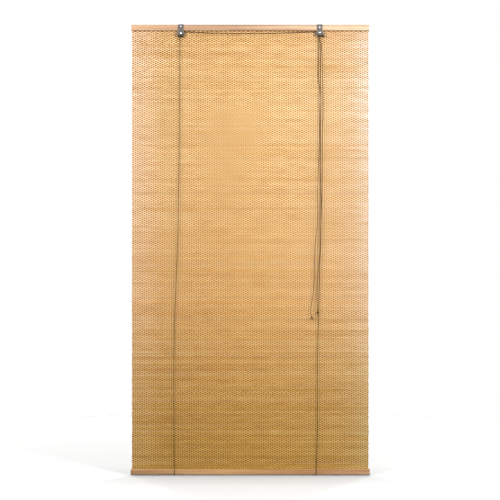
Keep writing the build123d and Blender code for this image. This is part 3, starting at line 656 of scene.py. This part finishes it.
def sticks_tree():
    """Horizontal split sticks, one under another, each a little different in size, place and bow."""
    tree, size, values = new_tree(
        "bamboo_sticks", ("count", stick_count), ("pitch", STICK_PITCH * MM),
        ("length", mat_high.x - mat_low.x), ("height", STICK_HEIGHT * MM), ("depth", STICK_DEPTH * MM),
        ("ragged", STICK_RAGGED * MM), ("top", first_stick_z), ("middle", mat_middle_y), ("seed", 11),
        ("material", bamboo))
    # One stick: a flattened ring swept along a straight line.
    half = add(tree, "ShaderNodeMath", {0: size["length"], 1: 0.5}, operation="MULTIPLY")
    minus_half = add(tree, "ShaderNodeMath", {0: size["length"], 1: -0.5}, operation="MULTIPLY")
    left = add(tree, "ShaderNodeCombineXYZ", {"X": minus_half})
    right = add(tree, "ShaderNodeCombineXYZ", {"X": half})
    line = add(tree, "GeometryNodeCurvePrimitiveLine", {"Start": left, "End": right})
    line = add(tree, "GeometryNodeResampleCurve", {"Curve": line, "Count": 13})
    ring = add(tree, "GeometryNodeCurvePrimitiveCircle", {"Resolution": 8, "Radius": 0.541})
    ring_scale = add(tree, "ShaderNodeCombineXYZ", {"X": size["depth"], "Y": size["height"], "Z": 1.0})
    turned = add(tree, "GeometryNodeTransform", {"Geometry": ring, "Rotation": (0, 0, math.pi / 8)})
    ring = add(tree, "GeometryNodeTransform", {"Geometry": turned, "Scale": ring_scale})
    stick = add(tree, "GeometryNodeCurveToMesh", {"Curve": line, "Profile Curve": ring, "Fill Caps": True})
    # A column of them, each with its own size and tilt.
    start = add(tree, "ShaderNodeCombineXYZ", {"Y": size["middle"], "Z": size["top"]})
    down = add(tree, "ShaderNodeMath", {0: size["pitch"], 1: -1.0}, operation="MULTIPLY")
    step = add(tree, "ShaderNodeCombineXYZ", {"Z": down})
    column = add(tree, "GeometryNodeMeshLine",
                 {"Count": size["count"], "Start Location": start, "Offset": step}, mode="OFFSET")
    grown_by = add(tree, "FunctionNodeRandomValue", {0: (0.9985, 0.86, 0.95), 1: (1.0012, 1.05, 1.01),
                                                     "Seed": size["seed"]}, data_type="FLOAT_VECTOR")
    tilt = add(tree, "FunctionNodeRandomValue", {0: (-0.12, -0.0003, 0.0), 1: (0.12, 0.0003, 0.0), "Seed": 5},
               data_type="FLOAT_VECTOR")
    sticks = add(tree, "GeometryNodeInstanceOnPoints",
                 {"Points": column, "Instance": stick, "Scale": grown_by, "Rotation": tilt})
    # What the material reads: a tone of its own, and its number from the top.
    tone = add(tree, "FunctionNodeRandomValue", {2: 0.0, 3: 1.0, "Seed": 2}, data_type="FLOAT")
    toned = add(tree, "GeometryNodeStoreNamedAttribute", {"Geometry": sticks, "Name": "tone", "Value": tone},
                data_type="FLOAT", domain="INSTANCE")
    number = add(tree, "GeometryNodeInputIndex")
    toned = add(tree, "GeometryNodeStoreNamedAttribute",
                {"Geometry": toned, "Name": "order", "Value": number}, data_type="FLOAT", domain="INSTANCE")
    # Ragged ends, because each stick is slid a little sideways, and a slight bow.
    slid = add(tree, "FunctionNodeRandomValue", {2: -1.0, 3: 1.0, "Seed": 9}, data_type="FLOAT")
    slid = add(tree, "ShaderNodeMath", {0: slid, 1: size["ragged"]}, operation="MULTIPLY")
    slide = add(tree, "ShaderNodeCombineXYZ", {"X": slid})
    moved = add(tree, "GeometryNodeTranslateInstances",
                {"Instances": toned, "Translation": slide, "Local Space": False})
    real = add(tree, "GeometryNodeRealizeInstances", {"Geometry": moved})
    at = add(tree, "GeometryNodeInputPosition")
    stretched = add(tree, "ShaderNodeVectorMath", {0: at, 1: (5.0, 0.0, 190.0)}, operation="MULTIPLY")
    bow = add(tree, "ShaderNodeTexNoise", {"Vector": stretched, "Scale": 1.0, "Detail": 1.0}).outputs["Color"]
    centred = add(tree, "ShaderNodeVectorMath", {0: bow, 1: (0.5, 0.5, 0.5)}, operation="SUBTRACT")
    shift = add(tree, "ShaderNodeVectorMath", {0: centred, 1: (0.0, 0.0003, 0.0004)}, operation="MULTIPLY")
    bowed = add(tree, "GeometryNodeSetPosition", {"Geometry": real, "Offset": shift})
    end_tree(tree, bowed, size["material"])
    return tree, values


def threads_tree(first, count):
    """Columns of warp thread that pass over one stick and under the next, opposite to their neighbours."""
    tree, size, values = new_tree(
        f"warp_threads_{first}", ("first", first), ("columns", count), ("pitch", THREAD_PITCH * MM),
        ("sticks", stick_count), ("stick_pitch", STICK_PITCH * MM), ("top", first_stick_z),
        ("middle", mat_middle_y), ("swing", THREAD_SWING * MM), ("width", THREAD_WIDTH * MM),
        ("depth", THREAD_DEPTH * MM), ("material", thread))
    # One straight line down the mat, with two points to a stick.
    quarter = add(tree, "ShaderNodeMath", {0: size["stick_pitch"], 1: 0.25}, operation="MULTIPLY")
    top = add(tree, "ShaderNodeMath", {0: size["top"], 1: quarter}, operation="ADD")
    pitches = add(tree, "ShaderNodeMath", {0: size["sticks"], 1: 0.5}, operation="SUBTRACT")
    run = add(tree, "ShaderNodeMath", {0: pitches, 1: size["stick_pitch"]}, operation="MULTIPLY")
    bottom = add(tree, "ShaderNodeMath", {0: top, 1: run}, operation="SUBTRACT")
    points_each = add(tree, "ShaderNodeMath", {0: size["sticks"], 1: 2.0}, operation="MULTIPLY")
    upper = add(tree, "ShaderNodeCombineXYZ", {"Z": top})
    lower = add(tree, "ShaderNodeCombineXYZ", {"Z": bottom})
    line = add(tree, "GeometryNodeCurvePrimitiveLine", {"Start": upper, "End": lower})
    line = add(tree, "GeometryNodeResampleCurve", {"Curve": line, "Count": points_each})
    # A row of these lines, a thread pitch apart.
    from_middle = add(tree, "ShaderNodeMath", {0: size["first"], 1: (THREAD_COLUMNS - 1) / 2},
                      operation="SUBTRACT")
    start_x = add(tree, "ShaderNodeMath", {0: from_middle, 1: size["pitch"]}, operation="MULTIPLY")
    start = add(tree, "ShaderNodeCombineXYZ", {"X": start_x, "Y": size["middle"]})
    step = add(tree, "ShaderNodeCombineXYZ", {"X": size["pitch"]})
    row = add(tree, "GeometryNodeMeshLine",
              {"Count": size["columns"], "Start Location": start, "Offset": step}, mode="OFFSET")
    columns = add(tree, "GeometryNodeInstanceOnPoints", {"Points": row, "Instance": line})
    real = add(tree, "GeometryNodeRealizeInstances", {"Geometry": columns})
    # Each point swings to the front or the back, by whether its column and stick add up to odd or even.
    index = add(tree, "GeometryNodeInputIndex")
    column = add(tree, "ShaderNodeMath", {0: index, 1: points_each}, operation="DIVIDE")
    column = add(tree, "ShaderNodeMath", {0: column}, operation="FLOOR")
    column = add(tree, "ShaderNodeMath", {0: column, 1: size["first"]}, operation="ADD")
    stick = add(tree, "ShaderNodeMath", {0: index, 1: points_each}, operation="MODULO")
    stick = add(tree, "ShaderNodeMath", {0: stick, 1: 2.0}, operation="DIVIDE")
    stick = add(tree, "ShaderNodeMath", {0: stick}, operation="FLOOR")
    parity = add(tree, "ShaderNodeMath", {0: column, 1: stick}, operation="ADD")
    parity = add(tree, "ShaderNodeMath", {0: parity, 1: 2.0}, operation="MODULO")
    side = add(tree, "ShaderNodeMath", {0: parity, 1: 2.0}, operation="MULTIPLY")
    side = add(tree, "ShaderNodeMath", {0: side, 1: 1.0}, operation="SUBTRACT")
    swing = add(tree, "ShaderNodeMath", {0: side, 1: size["swing"]}, operation="MULTIPLY")
    # Columns wander sideways a little.
    at = add(tree, "GeometryNodeInputPosition")
    stretched = add(tree, "ShaderNodeVectorMath", {0: at, 1: (37.0, 0.0, 26.0)}, operation="MULTIPLY")
    drift = add(tree, "ShaderNodeTexNoise", {"Vector": stretched, "Scale": 1.0, "Detail": 2.0})
    drift = add(tree, "ShaderNodeMath", {0: drift, 1: 0.5}, operation="SUBTRACT")
    drift = add(tree, "ShaderNodeMath", {0: drift, 1: THREAD_WANDER * MM}, operation="MULTIPLY")
    shift = add(tree, "ShaderNodeCombineXYZ", {"X": drift, "Y": swing})
    woven = add(tree, "GeometryNodeSetPosition", {"Geometry": real, "Offset": shift})
    # The line becomes a flat thread.
    ring = add(tree, "GeometryNodeCurvePrimitiveCircle", {"Resolution": 3, "Radius": 0.62})
    ring_scale = add(tree, "ShaderNodeCombineXYZ", {"X": size["depth"], "Y": size["width"], "Z": 1.0})
    ring = add(tree, "GeometryNodeTransform", {"Geometry": ring, "Scale": ring_scale})
    tube = add(tree, "GeometryNodeCurveToMesh", {"Curve": woven, "Profile Curve": ring, "Fill Caps": True})
    end_tree(tree, tube, size["material"])
    return tree, values


sticks = grown("mat_sticks", *sticks_tree())
thread_pieces = []
share = THREAD_COLUMNS // 3
for number, part in enumerate(("left", "middle", "right")):
    thread_pieces.append(grown(f"mat_threads_{part}", *threads_tree(number * share, share)))

mat_pieces = [sticks, *thread_pieces]
for piece in mat_pieces:
    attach(piece, "head")
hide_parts("bamboo_mat")
for piece in mat_pieces:
    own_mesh(piece)

# ---- finishes of the CAD pieces ----
finishes = {
    head_wood: ["head_front_batten", "head_back_batten"],
    foot_wood: ["foot_front_batten", "foot_back_batten"],
    bracket_steel: ["left_bracket", "right_bracket"],
    cam_steel: ["lock_cam"],
    bright_steel: ["left_axle_rivet", "right_axle_rivet", "left_bracket_screw", "right_bracket_screw",
                   "lock_cam_pin"],
    nail_steel: ["head_nails", "foot_nails", "left_staple", "right_staple"],
    nylon: ["left_wheel", "right_front_wheel", "right_rear_wheel"],
}
for material, names in finishes.items():
    for name in names:
        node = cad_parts[name]
        node.data.materials.clear()
        node.data.materials.append(material)
